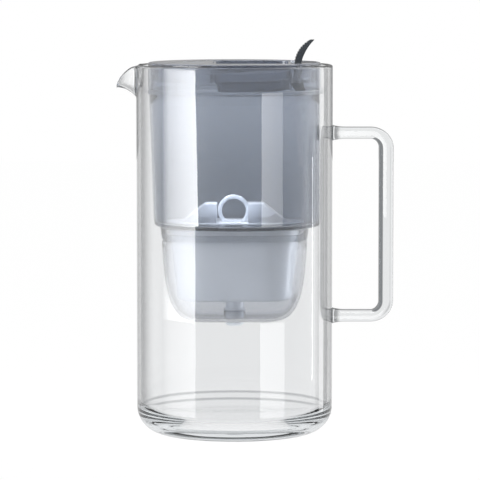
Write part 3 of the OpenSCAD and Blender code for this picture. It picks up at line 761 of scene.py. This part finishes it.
@dataclass
class GlassJug:
    """The glass body with its beak, and the bar handle welded to it."""

    wall: float = 3.2 * MM
    floor: float = 9.8 * MM
    heel: float = 19.0 * MM
    well: float = 15.0 * MM
    rim_lip: float = 0.6 * MM
    beak_base_z: float = 234.0 * MM
    beak_rows: int = 44
    edge_rows: int = 8
    fine_step: float = 0.45
    coarse_step: float = 2.5
    fine_zone: float = 16.0
    beak_side: float = 60.0
    squeeze_fade: float = 9.0 * MM
    hub_radius: float = 6 * MM
    soft_edge: float = 15.0
    soft_fade: float = 5.0
    soft_passes: int = 7
    low: Vector = field(init=False)
    high: Vector = field(init=False)

    def __post_init__(self) -> None:
        """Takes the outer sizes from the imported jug."""
        self.low, self.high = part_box("jug_glass")

    @property
    def radius(self) -> float:
        """Returns the body's outer radius."""
        return self.high.y - self.rim_lip

    def turns(self) -> np.ndarray:
        """Returns the columns' angles from the beak, close together near it."""
        fine = np.arange(-self.fine_zone, self.fine_zone + 1e-6, self.fine_step)
        count = round((360.0 - 2 * self.fine_zone) / self.coarse_step)
        coarse = np.linspace(self.fine_zone, 360.0 - self.fine_zone, count + 1)[1:-1]
        return np.concatenate([fine, coarse])

    def wall_column(self, turn: float, inner: bool, beak: BeakShape) -> np.ndarray:
        """Returns the upper part of one column of the wall.

        Args:
            turn: the column's angle from the beak, in degrees.
            inner: True for the inner face.
            beak: the beak's shape.

        Returns:
            Points from the beak's base height to the rim's edge.
        """
        angle = math.radians(turn if turn < 180.0 else turn - 360.0)
        y = self.radius * math.sin(angle)
        near = abs(math.degrees(angle)) < self.beak_side
        bore = self.radius - self.wall
        if near and abs(y) < beak.half_width:
            line = beak.column(y, self.beak_base_z, bore if inner else None)
        else:
            radius = bore if inner else self.radius
            if inner and near:
                squeeze = (beak.half_width - beak.glass) / beak.half_width * self.radius / bore
                fade = min(max((abs(y) - beak.half_width) / self.squeeze_fade, 0.0), 1.0)
                angle *= squeeze + (1.0 - squeeze) * fade
            top = beak.lip(0.0)
            line = np.array([(-radius * math.cos(angle), radius * math.sin(angle), z)
                             for z in np.linspace(self.beak_base_z, top, 40)])
        return resample(line, self.beak_rows)

    def body(self) -> bpy.types.Object:
        """Builds the glass body as one closed mesh."""
        beak = BeakShape(self.radius, self.high.z)
        turns = self.turns()
        bore = self.radius - self.wall
        foot = arc(self.radius - self.heel, self.heel, self.heel, -90, 0, 26)
        outer = run((self.hub_radius, 0.0), foot[0], 8) + foot
        outer += run((self.radius, self.heel), (self.radius, self.beak_base_z), 12)[1:]
        well = arc(bore - self.well, self.floor + self.well, self.well, 0, -90, 22)
        hub = (self.hub_radius, self.floor)
        inner = run((bore, self.beak_base_z), well[0], 12)[1:] + well + run(well[-1], hub, 8)[1:]
        inner.append(hub)
        ways = [(-math.cos(a), math.sin(a)) for a in (math.radians(turn) for turn in turns)]
        out_tops = np.array([self.wall_column(turn, False, beak) for turn in turns])
        in_tops = np.array([self.wall_column(turn, True, beak)[::-1] for turn in turns])
        out_tops = self.relaxed(out_tops, turns, range(1, self.beak_rows - 2))
        in_tops = self.relaxed(in_tops, turns, range(2, self.beak_rows - 1))
        rings = [[(r * x, r * y, z) for x, y in ways] for r, z in outer]
        rings += list(np.swapaxes(out_tops, 0, 1))
        rings += self.rim_edge(out_tops, in_tops)
        rings += list(np.swapaxes(in_tops, 0, 1))
        rings += [[(r * x, r * y, z) for x, y in ways] for r, z in inner]
        return loft("clear_jug_body", np.array(rings))

    def relaxed(self, grid: np.ndarray, turns: np.ndarray, rows: range) -> np.ndarray:
        """Smooths the wall near the beak, so that it leaves the wall in a soft bend.

        Args:
            grid: columns by rows by coordinates.
            turns: the columns' angles.
            rows: the rows that may move.

        Returns:
            The smoothed grid.
        """
        away = np.minimum(turns % 360.0, 360.0 - turns % 360.0)
        weight = np.clip((self.soft_edge - away) / self.soft_fade, 0.0, 1.0)[:, None, None]
        low, high = rows.start, rows.stop
        for _ in range(self.soft_passes):
            mean = (np.roll(grid, 1, 0) + np.roll(grid, -1, 0)) / 2.0
            beside = grid[:, low - 1:high - 1] + grid[:, low + 1:high + 1]
            mean = mean[:, low:high] * 0.5 + beside * 0.25
            grid[:, low:high] += (mean - grid[:, low:high]) * 0.5 * weight
        return grid

    def rim_edge(self, out_tops: np.ndarray, in_tops: np.ndarray) -> list[np.ndarray]:
        """Rounds the edge over from the outer face to the inner one, with the rim's small lip."""
        outer, inner = out_tops[:, -1], in_tops[:, 0]
        rise = outer - out_tops[:, -3] + inner - in_tops[:, 2]
        rise /= np.linalg.norm(rise, axis=1)[:, None]
        span = np.linalg.norm(outer - inner, axis=1)[:, None]
        middle = (outer + inner) / 2.0
        across = (outer - inner) / 2.0
        top_room = (self.high.z - np.maximum(outer[:, 2], inner[:, 2]))[:, None]
        height = np.minimum(span / 2.0, np.maximum(top_room, 0.0)) * 0.98
        rings = []
        for t in np.linspace(0.0, 180.0, self.edge_rows + 2)[1:-1]:
            c, s = math.cos(math.radians(t)), math.sin(math.radians(t))
            rings.append(middle + across * c + rise * height * s)
        return rings

    def build(self) -> None:
        """Builds and dresses the jug's pieces."""
        dress(self.body(), JUG_GLASS, Body.JUG, "jug_glass")
        BarHandle(self.radius).build()


# The place along X, the height, the outer side's angle in degrees, the thickness and the width
Station = tuple[float, float, float, float, float]


@dataclass
class BarHandle:
    """The bent glass bar, as rings along its centre line."""

    wall_radius: float
    arm_thickness: float = 8.6 * MM
    grip_thickness: float = 10.7 * MM
    width: float = 12.0 * MM
    bend: float = 11.0 * MM
    flare: float = 2.4 * MM
    flare_length: float = 9.0 * MM
    upper_arm_z: float = 214.9 * MM
    lower_arm_z: float = 83.8 * MM
    weld_gap: float = 0.02 * MM
    seat: float = 2.0 * MM
    around: int = 40
    bend_steps: int = 18
    square: float = 0.58

    def stations(self) -> list[Station]:
        """Returns the line's stations."""
        grip_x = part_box("handle")[1].x - self.grip_thickness / 2.0
        bend_x = grip_x - self.bend
        weld = self.wall_radius + self.flare_length
        arm = []
        places = (np.linspace(self.wall_radius + self.weld_gap, weld, 14),
                  np.linspace(weld, bend_x, 8)[1:-1])
        for x in np.concatenate(places):
            grow = self.flare * max(1.0 - (x - self.wall_radius) / self.flare_length, 0.0) ** 2
            arm.append((x, self.arm_thickness + grow, self.width + grow))
        bend = []
        for k in range(self.bend_steps + 1):
            a = math.radians(90.0 * k / self.bend_steps)
            ease = 0.5 - 0.5 * math.cos(math.pi * k / self.bend_steps)
            thick = self.arm_thickness + (self.grip_thickness - self.arm_thickness) * ease
            bend.append((bend_x + self.bend * math.sin(a), self.bend * (math.cos(a) - 1.0),
                         90.0 - math.degrees(a), thick))
        line = [(x, self.upper_arm_z, 90.0, t, w) for x, t, w in arm]
        wide = self.width
        line += [(x, self.upper_arm_z + drop, side, t, wide) for x, drop, side, t in bend]
        line += [(x, self.lower_arm_z - drop, -side, t, wide) for x, drop, side, t in reversed(bend)]
        line += [(x, self.lower_arm_z, -90.0, t, w) for x, t, w in reversed(arm)]
        return line

    def ring(self, station: Station) -> Ring:
        """Returns the bar's section at a station, on the wall's curve where it is welded."""
        x, z, side_angle, thick, wide = station
        a = np.linspace(0.0, 2.0 * np.pi, self.around, endpoint=False)
        bulge = np.sign(np.cos(a)) * np.abs(np.cos(a)) ** self.square * thick / 2.0
        side = np.sign(np.sin(a)) * np.abs(np.sin(a)) ** self.square * wide / 2.0
        px = x + bulge * math.cos(math.radians(side_angle))
        pz = z + bulge * math.sin(math.radians(side_angle))
        weld = max(1.0 - (x - self.wall_radius) / self.seat, 0.0)
        px = px + weld * (np.sqrt(self.wall_radius ** 2 - side ** 2) - self.wall_radius)
        return np.stack([px, side, pz], axis=1)

    def build(self) -> None:
        """Builds and dresses the handle."""
        bar = loft("clear_bar_handle", np.array([self.ring(s) for s in self.stations()]))
        dress(bar, HANDLE_GLASS, Body.JUG, "handle")


# The hopper


@dataclass
class Hopper:
    """The smoky hopper with its neck, the silicone ring round it and the cup under it."""

    plan: OvalPlan
    wall: float = 2.0 * MM
    floor_thickness: float = 2.2 * MM
    foot_shift: float = 1.95 * MM
    foot_radius: float = 59.55 * MM
    band_radius: float = 61.7 * MM
    band_z: float = 242.8 * MM
    band_step: float = 0.6 * MM
    groove: float = 0.6 * MM
    ring_z: float = 243.6 * MM
    ring_top_z: float = 246.6 * MM
    edge: float = 2.4 * MM
    inner_edge: float = 2.0 * MM
    floor_z: float = 149.0 * MM
    neck_radius: float = 33.0 * MM
    neck_foot_radius: float = 31.9 * MM
    neck_bore: float = 29.9 * MM
    socket_radius: float = 29.7 * MM
    ledge_radius: float = 27.2 * MM
    ledge_z: float = 149.5 * MM
    ledge_thickness: float = 2.2 * MM
    joint_z: float = 139.0 * MM
    joint_line: float = 1.2 * MM
    cup_depth: float = 59.5 * MM
    cup_wall: float = 2.0 * MM
    cup_draft: float = 0.10
    cup_power: float = 3.5
    cup_steps: int = 42
    cup_turn: float = 86.0
    collar_height: float = 5.0 * MM
    collar_thickness: float = 1.6 * MM
    boss_height: float = 7.5 * MM
    boss_radius: float = 7.75 * MM
    boss_bore: float = 6.6 * MM

    def chamber_ring(self, z: float, inset: float) -> Ring:
        """Returns the tilted chamber's ring at height z, drawn in by inset."""
        t = (z - self.floor_z) / (self.band_z - self.floor_z)
        top = self.band_radius - self.band_step
        radius = self.foot_radius + (top - self.foot_radius) * t - inset
        return self.plan.circle(radius, z, self.foot_shift * (1.0 - t))

    def outside(self, top_z: float) -> list[Ring]:
        """Returns the outer face's rings, from the rim down to the neck's foot."""
        p, band, inner = self.plan, self.band_radius, self.band_radius - self.groove
        rings = p.circles((band - 0.4 * MM, top_z), (band, top_z - 0.4 * MM))
        rings += [p.circle(band, z)
                  for z in np.linspace(top_z - 3 * MM, self.ring_top_z + 0.2 * MM, 5)]
        rings += p.circles((band - 0.2 * MM, self.ring_top_z), (inner, self.ring_top_z),
                           (inner, self.ring_z), (band - 0.2 * MM, self.ring_z),
                           (band, self.ring_z - 0.2 * MM), (band, self.band_z + 0.1 * MM),
                           (band - 0.1 * MM, self.band_z))
        rings += [self.chamber_ring(z, 0.0)
                  for z in np.linspace(self.band_z, self.floor_z + self.edge, 16)]
        for a in np.radians(np.linspace(0.0, 90.0, 8)[1:]):
            drop = self.edge * (1.0 - math.sin(a))
            rings.append(self.chamber_ring(self.floor_z + drop, self.edge * (1.0 - math.cos(a))))
        neck, foot, joint = self.neck_radius, self.neck_foot_radius, self.joint_z
        return rings + p.ovals((neck + 1.2 * MM, self.floor_z),
                               (neck + 0.3 * MM, self.floor_z - 0.3 * MM),
                               (neck, self.floor_z - 1.2 * MM), (foot, joint + 0.3 * MM),
                               (foot - 0.3 * MM, joint))

    def inside(self, top_z: float) -> list[Ring]:
        """Returns the inner face's rings, from the neck's foot up to the rim."""
        p, bore = self.plan, self.band_radius - self.wall
        under, floor_top = self.ledge_z - self.ledge_thickness, self.floor_z + self.floor_thickness
        rings = p.ovals((self.neck_bore, self.joint_z), (self.neck_bore, under),
                        (self.ledge_radius, under), (self.ledge_radius, self.ledge_z),
                        (self.socket_radius, self.ledge_z),
                        (self.socket_radius, floor_top - 0.3 * MM),
                        (self.socket_radius + 0.3 * MM, floor_top))
        for a in np.radians(np.linspace(0.0, 90.0, 6)):
            rise = self.inner_edge * (1.0 - math.cos(a))
            inset = self.wall + self.inner_edge * (1.0 - math.sin(a))
            rings.append(self.chamber_ring(floor_top + rise, inset))
        rings += [self.chamber_ring(z, self.wall)
                  for z in np.linspace(floor_top + 6 * MM, self.band_z - 1 * MM, 14)]
        rings += [p.circle(bore, z) for z in np.linspace(self.band_z, top_z - 0.4 * MM, 6)]
        return rings + p.circles((bore + 0.4 * MM, top_z))

    def chamber(self) -> bpy.types.Object:
        """Builds the hopper with its floor, socket and neck as one closed mesh."""
        top_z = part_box("funnel")[1].z
        rings = self.outside(top_z) + self.inside(top_z)
        return loft("smoky_hopper", np.array(rings), looped=True)

    def cup_radius(self, f: float, inset: float) -> float:
        """Returns the cup's end radius, f from 0 at the rim to 1 at the bottom."""
        fall = (1.0 - min(f, 1.0) ** self.cup_power) ** (1.0 / self.cup_power)
        return (self.neck_foot_radius - inset) * (1.0 - self.cup_draft * f) * fall

    def cup_wall_rings(self, inset: float, low: float, high: float) -> list[Ring]:
        """Returns the cup's wall from its rim down to its nearly flat bottom."""
        falls = np.sin(np.radians(np.linspace(0.0, self.cup_turn, self.cup_steps)))
        return [self.plan.oval(self.cup_radius(f, inset), high - (high - low) * f) for f in falls]

    def cup(self) -> bpy.types.Object:
        """Builds the cup with its collar and its boss as one closed mesh."""
        p, foot, z0 = self.plan, self.neck_foot_radius, self.joint_z - self.cup_depth
        collar, top = self.neck_bore - 0.05 * MM, self.joint_z + self.collar_height
        step_z, boss_z = self.joint_z - self.joint_line, z0 + self.boss_height
        boss, hole = self.boss_radius, self.boss_bore
        floor, bore = z0 + self.cup_wall, collar - self.collar_thickness
        outer = self.cup_wall_rings(0.0, z0, self.joint_z)
        inner = self.cup_wall_rings(self.cup_wall, floor, self.joint_z)[::-1]
        rings = p.ovals((collar - 0.3 * MM, top), (collar, top - 0.3 * MM), (collar, self.joint_z),
                        (foot - 0.9 * MM, self.joint_z), (foot - 0.7 * MM, self.joint_z - 0.2 * MM),
                        (foot - 0.7 * MM, step_z), (self.cup_radius(0.02, 0.3 * MM), step_z))
        rings += [r for r in outer if r[0][2] < step_z]
        rings += p.circles((boss, z0 + 0.02 * MM), (hole + 0.5 * MM, z0), (hole, z0 + 0.5 * MM),
                           (hole, boss_z), (boss - 0.2 * MM, boss_z), (boss, boss_z - 0.2 * MM),
                           (boss, floor + 0.6 * MM), (boss + 0.5 * MM, floor + 0.1 * MM))
        rings += [r for r in inner if r[0][2] < step_z - 2 * MM]
        rings += p.ovals((bore, step_z), (bore, top - 0.3 * MM), (bore + 0.3 * MM, top))
        return loft("oval_cartridge_cup", np.array(rings), looped=True)

    def build(self) -> None:
        """Builds and dresses the hopper's pieces."""
        dress(self.chamber(), HOPPER_SMOKE, Body.HOPPER, "funnel")
        dress(self.cup(), CUP_SMOKE, Body.HOPPER, "cartridge_cup")
        ring = softened("grip_ring", "silicone_grip_ring", 0.2 * MM)
        dress(ring, RING_SILICONE, Body.HOPPER)


# The lid and its flap


@dataclass
class FlipLid:
    """The lid with its hinge pin, and the flap with its thumb lever."""

    edge: float = 0.5 * MM
    pin_edge: float = 0.3 * MM

    def build(self) -> None:
        """Rounds and dresses the lid's and the flap's pieces."""
        pieces = (("lid_cover", "round_lid_cover", self.edge, 2, LID_SMOKE, Body.LID, "lid_plastic"),
                  ("hinge_pin", "lid_hinge_pin", self.pin_edge, 2, PIN_STEEL, Body.LID, "pin_steel"),
                  ("fill_flap", "dished_fill_flap", self.edge, 2, FLAP_SMOKE, Body.FLAP,
                   "flap_plastic"),
                  ("thumb_lever", "curved_thumb_lever", self.edge, 3, LEVER_GLOSS, Body.FLAP,
                   "lever_plastic"))
        for node, name, edge, segments, finish, body, slot in pieces:
            dress(softened(node, name, edge, segments), finish, body)


# The cartridge


@dataclass
class Cartridge:
    """The oval cartridge: shell, cap and pull ring outside, seals, screens and beds inside."""

    plan: OvalPlan
    hopper: Hopper
    wall: float = 1.5 * MM
    end_radius: float = 26.2 * MM
    foot_radius: float = 20.7 * MM
    flange_radius: float = 29.2 * MM
    flange_thickness: float = 1.1 * MM
    land: float = 2.6 * MM
    depth: float = 53.9 * MM
    foot_round: float = 3.2 * MM
    spigot_radius: float = 6.5 * MM
    spigot_bore: float = 4.0 * MM
    collar_z: float = 88.2 * MM
    collar_thickness: float = 1.2 * MM
    collar_radius: float = 7.65 * MM
    cap_edge: float = 0.7 * MM
    ring_edge: float = 0.8 * MM

    def shell(self) -> bpy.types.Object:
        """Builds the cartridge's shell with its spigot as one closed mesh."""
        p, seat, tip = self.plan, self.hopper.ledge_z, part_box("cartridge_shell")[0].z
        top, foot = seat + self.flange_thickness, seat - self.depth
        flange, spigot, end = self.flange_radius, self.spigot_radius, self.end_radius
        slope = (end - self.foot_radius) / (self.depth - self.land)
        rings = p.ovals((flange - 0.2 * MM, top), (flange, top - 0.2 * MM),
                        (flange, seat + 0.2 * MM), (flange - 0.2 * MM, seat),
                        (end + 0.1 * MM, seat), (end, seat - self.land))
        round_z = foot + self.foot_round
        rings += [p.oval(self.foot_radius + slope * (z - foot), z)
                  for z in np.linspace(seat - self.land - 2 * MM, round_z, 10)]
        start = self.foot_radius + slope * self.foot_round
        for a in np.radians(np.linspace(0.0, 90.0, 9)[1:]):
            inset = self.foot_round * (1.0 - math.cos(a))
            rings.append(p.oval(start - inset, round_z - self.foot_round * math.sin(a)))
        rim, floor = self.collar_z + self.collar_thickness, foot + self.wall
        rings += p.circles((spigot + 0.8 * MM, foot), (spigot, foot - 0.8 * MM), (spigot, rim),
                           (self.collar_radius, rim), (self.collar_radius, self.collar_z),
                           (spigot, self.collar_z), (spigot, tip + 1.0 * MM),
                           (spigot - 1.0 * MM, tip), (self.spigot_bore, tip),
                           (self.spigot_bore, floor))
        rings += p.ovals((self.foot_radius - self.wall, floor),
                         (end - self.wall, seat - self.land), (end - self.wall, top))
        return loft("oval_cartridge_shell", np.array(rings), looped=True)

    def build(self) -> None:
        """Builds and dresses the cartridge's pieces."""
        dress(self.shell(), SHELL_WHITE, Body.CARTRIDGE, "cartridge_shell")
        cap = softened("cartridge_cap", "winged_cartridge_cap", self.cap_edge, 3)
        dress(cap, CAP_WHITE, Body.CARTRIDGE)
        ring = softened("pull_ring", "cartridge_pull_ring", self.ring_edge, 4)
        dress(ring, RING_WHITE, Body.CARTRIDGE)
        inner = (("rim_seal", SEAL_GREY, "seal_rubber"), ("spigot_seal", SEAL_GREY, "seal_rubber"),
                 ("inlet_screen", SCREEN_WHITE, "screen_plastic"),
                 ("outlet_screen", SCREEN_WHITE, "screen_plastic"),
                 ("fleece_pad", FLEECE_WHITE, "filter_fleece"),
                 ("carbon_bed", CARBON_BLACK, "carbon_granules"),
                 ("resin_bed", RESIN_AMBER, "resin_beads"))
        for node, finish, slot in inner:
            dress(bpy.data.objects[node], finish, Body.CARTRIDGE)


# The studio


@dataclass
class Studio:
    """The camera, the white surround, the floor, the lamps and the reflector cards."""

    camera_place: Place = (0.0039, -2.358, 0.3476)
    aim: Place = (0.0039, 0.0, 0.138)
    lens: float = 248.0
    sensor_width: float = 36.0
    sight_end: float = 20.0
    surround: float = 0.58
    front_gloss: float = 0.12
    front_fade: tuple[float, float] = (-0.25, 0.15)
    rear_gloss: float = 0.40
    rear_fade: tuple[float, float] = (0.80, 0.97)
    floor_size: float = 6.0
    floor_level: float = -0.05 * MM
    floor_glow: float = 1.05
    floor_share: float = 0.90
    floor_grey: float = 0.86
    card_distance: float = 0.16
    card_steps: int = 24
    lamp_distance: float = 0.37

    def sight_share(self, tree: Tree, *sights: RaySight) -> Socket:
        """Returns a socket that is 1 for these kinds of ray and 0 for the others."""
        path = tree.nodes.new("ShaderNodeLightPath")
        share = path.outputs[sights[0].value]
        for sight in sights[1:]:
            share = math_node(tree, "MAXIMUM", share, path.outputs[sight.value])
        return share

    def axes(self, tree: Tree, source: str) -> Sequence[Socket]:
        """Returns the X, Y and Z of the place or the direction that is being shaded."""
        place = tree.nodes.new("ShaderNodeTexCoord")
        axes = tree.nodes.new("ShaderNodeSeparateXYZ")
        tree.links.new(place.outputs[source], axes.inputs["Vector"])
        return axes.outputs

    def world(self) -> None:
        """Makes the surround: white to the eye, softer as a light, dim in gloss where it must be."""
        world = bpy.data.worlds.new("studio_surround")
        bpy.context.scene.world = world
        tree = fresh_tree(world)
        along = self.axes(tree, "Generated")["Y"]
        front = ramp(tree, along, *self.front_fade, self.front_gloss, 1.0)
        rear = ramp(tree, along, *self.rear_fade, 1.0, self.rear_gloss)
        gloss = math_node(tree, "MULTIPLY", self.sight_share(tree, RaySight.GLOSSY),
                       math_node(tree, "MULTIPLY", front, rear))
        clear = self.sight_share(tree, RaySight.CAMERA, RaySight.TRANSMISSION)
        light = ramp(tree, self.sight_share(tree, *RaySight), 0.0, 1.0, self.surround, 0.0)
        level = math_node(tree, "MAXIMUM", light, math_node(tree, "MAXIMUM", clear, gloss))
        back = add_node(tree, "ShaderNodeBackground", Color=rgba(WHITE))
        tree.links.new(level, back.inputs["Strength"])
        show(tree, back.outputs["Background"], "World")

    def floor(self) -> None:
        """Makes the floor, white to the eye, dim in gloss at the front, with a soft shadow."""
        half, level = self.floor_size / 2.0, self.floor_level
        corners = [(-half, -half, level), (half, -half, level), (half, half, level),
                   (-half, half, level)]
        plane = mesh_object("studio_floor", np.array(corners), [(0, 1, 2, 3)])
        made = bpy.data.materials.new("pale_floor")
        tree = fresh_tree(made)
        grey = (self.floor_grey,) * 3
        matt = add_node(tree, "ShaderNodeBsdfDiffuse", Color=rgba(grey))
        rear = ramp(tree, self.axes(tree, "Object")["Y"], *self.front_fade, self.front_gloss, 1.0)
        clear = self.sight_share(tree, RaySight.CAMERA, RaySight.TRANSMISSION)
        seen = math_node(tree, "MAXIMUM", clear, rear)
        glow = tree.nodes.new("ShaderNodeEmission")
        mix = tree.nodes.new("ShaderNodeMixShader")
        share = math_node(tree, "MULTIPLY", self.sight_share(tree, *RaySight), self.floor_share)
        strength = math_node(tree, "MULTIPLY", seen, self.floor_glow)
        join(tree, (strength, glow.inputs["Strength"]), (share, mix.inputs[0]),
             (matt.outputs["BSDF"], mix.inputs[1]), (glow.outputs["Emission"], mix.inputs[2]))
        show(tree, mix.outputs["Shader"])
        plane.data.materials.append(made)

    def card(self, name: str, azimuths: tuple[float, float], heights: tuple[float, float],
             levels: tuple[float, float], lean: float = 0.0) -> None:
        """Adds a curved reflector card round the jug that shows only in gloss.

        Args:
            name: the card's name.
            azimuths: its two edges in degrees, 0 towards the camera and positive to its right.
            heights: its lower and upper edge.
            levels: its brightness at the two edges.
            lean: degrees by which the second edge is turned at the card's foot.
        """
        count = self.card_steps + 1
        turns = np.radians(np.linspace(*azimuths, count))
        foot = np.radians(np.linspace(azimuths[0], azimuths[1] + lean, count))
        points = np.array([(self.card_distance * math.sin(a), -self.card_distance * math.cos(a), z)
                           for z, edge in zip(heights, (foot, turns)) for a in edge])
        faces = [(k, k + 1, k + count + 1, k + count) for k in range(self.card_steps)]
        plane = mesh_object(name, points, faces)
        made = bpy.data.materials.new(name)
        tree = fresh_tree(made)
        axes = self.axes(tree, "Object")
        turn = math_node(tree, "ARCTAN2", axes["X"], math_node(tree, "MULTIPLY", axes["Y"], -1.0))
        level = ramp(tree, turn, turns[0], turns[-1], *levels)
        glow = tree.nodes.new("ShaderNodeEmission")
        tree.links.new(level, glow.inputs["Strength"])
        show(tree, glow.outputs["Emission"])
        plane.data.materials.append(made)
        plane.visible_camera = False
        plane.visible_diffuse = False
        plane.visible_transmission = False
        plane.visible_shadow = False
        made.cycles.emission_sampling = "NONE"

    def aimed(self, data: bpy.types.ID, place: Place, aim: Place) -> bpy.types.Object:
        """Makes an object for a lamp or a camera that stands at a place and faces a point."""
        made = new_object(data.name, data)
        made.location = place
        way = Vector(aim) - Vector(place)
        made.rotation_euler = way.to_track_quat("-Z", "Y").to_euler()
        return made

    def lamp(self, name: str, place: Place, aim: Place, size: tuple[float, float], strength: float,
             role: LampRole, spread: float = 180.0) -> None:
        """Adds a rectangular lamp.

        Args:
            name: the lamp's name.
            place: its centre.
            aim: the point that it faces.
            size: its width and height.
            strength: its radiance.
            role: what its light does.
            spread: the angle of its beam in degrees.
        """
        data = bpy.data.lights.new(name, "AREA")
        data.shape = "RECTANGLE"
        data.size, data.size_y = size
        data.energy = strength * math.pi * size[0] * size[1]
        data.spread = math.radians(spread)
        made = self.aimed(data, place, aim)
        made.visible_camera = False
        made.visible_diffuse = role is not LampRole.GLOSS
        made.visible_glossy = role is not LampRole.LIGHT
        made.visible_transmission = False

    def around(self, azimuth: float, height: float) -> tuple[Place, Place]:
        """Returns a lamp's place round the jug and the point on the jug's axis beside it."""
        a = math.radians(azimuth)
        place = (self.lamp_distance * math.sin(a), -self.lamp_distance * math.cos(a), height)
        return place, (0.0, 0.0, height)

    def camera(self) -> None:
        """Sets the camera at the photograph's angle."""
        data = bpy.data.cameras.new("view")
        data.lens = self.lens
        data.sensor_width = self.sensor_width
        data.clip_end = self.sight_end
        bpy.context.scene.camera = self.aimed(data, self.camera_place, self.aim)

    def cards(self) -> None:
        """Adds the reflector cards: a broad bright one at the left and slim ones at the right."""
        low, middle, high, whole = (0.0, 0.075), (0.075, 0.145), (0.145, 0.26), (0.0, 0.6)
        for part, heights, share, lean in (("low", low, 0.27, 0.0), ("middle", middle, 0.70, 0.0),
                                           ("high", high, 1.0, 3.2)):
            self.card(f"left_softbox_edge_{part}", (-75.7, -64.8), heights,
                      (0.5 * share, 8.2 * share))
            self.card(f"left_softbox_glow_{part}", (-64.8, -36.6), heights,
                      (8.2 * share, 17.0 * share), lean)
        for name, azimuths, heights, levels in (
                ("right_front_card_high", (24.8, 45.8), (0.145, 0.242), (5.0, 3.0)),
                ("right_front_card_low", (23.6, 48.0), low, (3.9, 3.3)),
                ("right_hair_card", (80.2, 81.4), whole, (1.3, 1.3)),
                ("right_slim_card", (84.5, 88.5), whole, (0.7, 1.2)),
                ("right_dark_card", (88.5, 96.0), whole, (0.15, 0.15)),
                ("right_rear_card", (96.0, 106.0), whole, (2.2, 3.4))):
            self.card(name, azimuths, heights, levels)

    def lamps(self) -> None:
        """Adds the lamps: two that show in gloss and three that light the plastic pieces."""
        light = LampRole.LIGHT
        self.lamp("left_softbox", *self.around(-62.5, 0.25), (0.27, 0.5), 7.0, LampRole.GLOSS)
        self.lamp("right_rear_strip", *self.around(103.0, 0.09), (0.10, 0.18), 10.0, LampRole.BOTH)
        self.lamp("key_soft", (-1.4, -1.2, 1.1), (0.0, 0.0, 0.15), (1.2, 1.2), 1.5, light)
        self.lamp("side_fill", (-0.13, -0.12, 0.13), (0.0, 0.0, 0.12), (0.08, 0.16), 4.6, light)
        self.lamp("chamber_fill", (-0.010, -0.014, 0.205), (-0.004, 0.0, 0.150), (0.04, 0.02), 12.0,
                  light, 84.0)

    def build(self) -> None:
        """Builds the whole studio and sets the light's bounces, which thick glass needs many of."""
        self.camera()
        self.world()
        self.floor()
        self.cards()
        self.lamps()
        scene = bpy.context.scene
        scene.view_settings.view_transform = "Standard"
        scene.cycles.max_bounces = 32
        scene.cycles.glossy_bounces = 24
        scene.cycles.transmission_bounces = 28
        scene.cycles.transparent_max_bounces = 32
        scene.cycles.sample_clamp_indirect = 6.0


def main() -> None:
    """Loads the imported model, builds every piece and sets the studio."""
    logging.basicConfig(level=logging.INFO, format="%(name)s: %(message)s")
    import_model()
    Studio().build()
    plan = OvalPlan(20.3 * MM)
    hopper = Hopper(plan)
    GlassJug().build()
    hopper.build()
    FlipLid().build()
    Cartridge(plan, hopper).build()


if __name__ == "__main__":
    main()
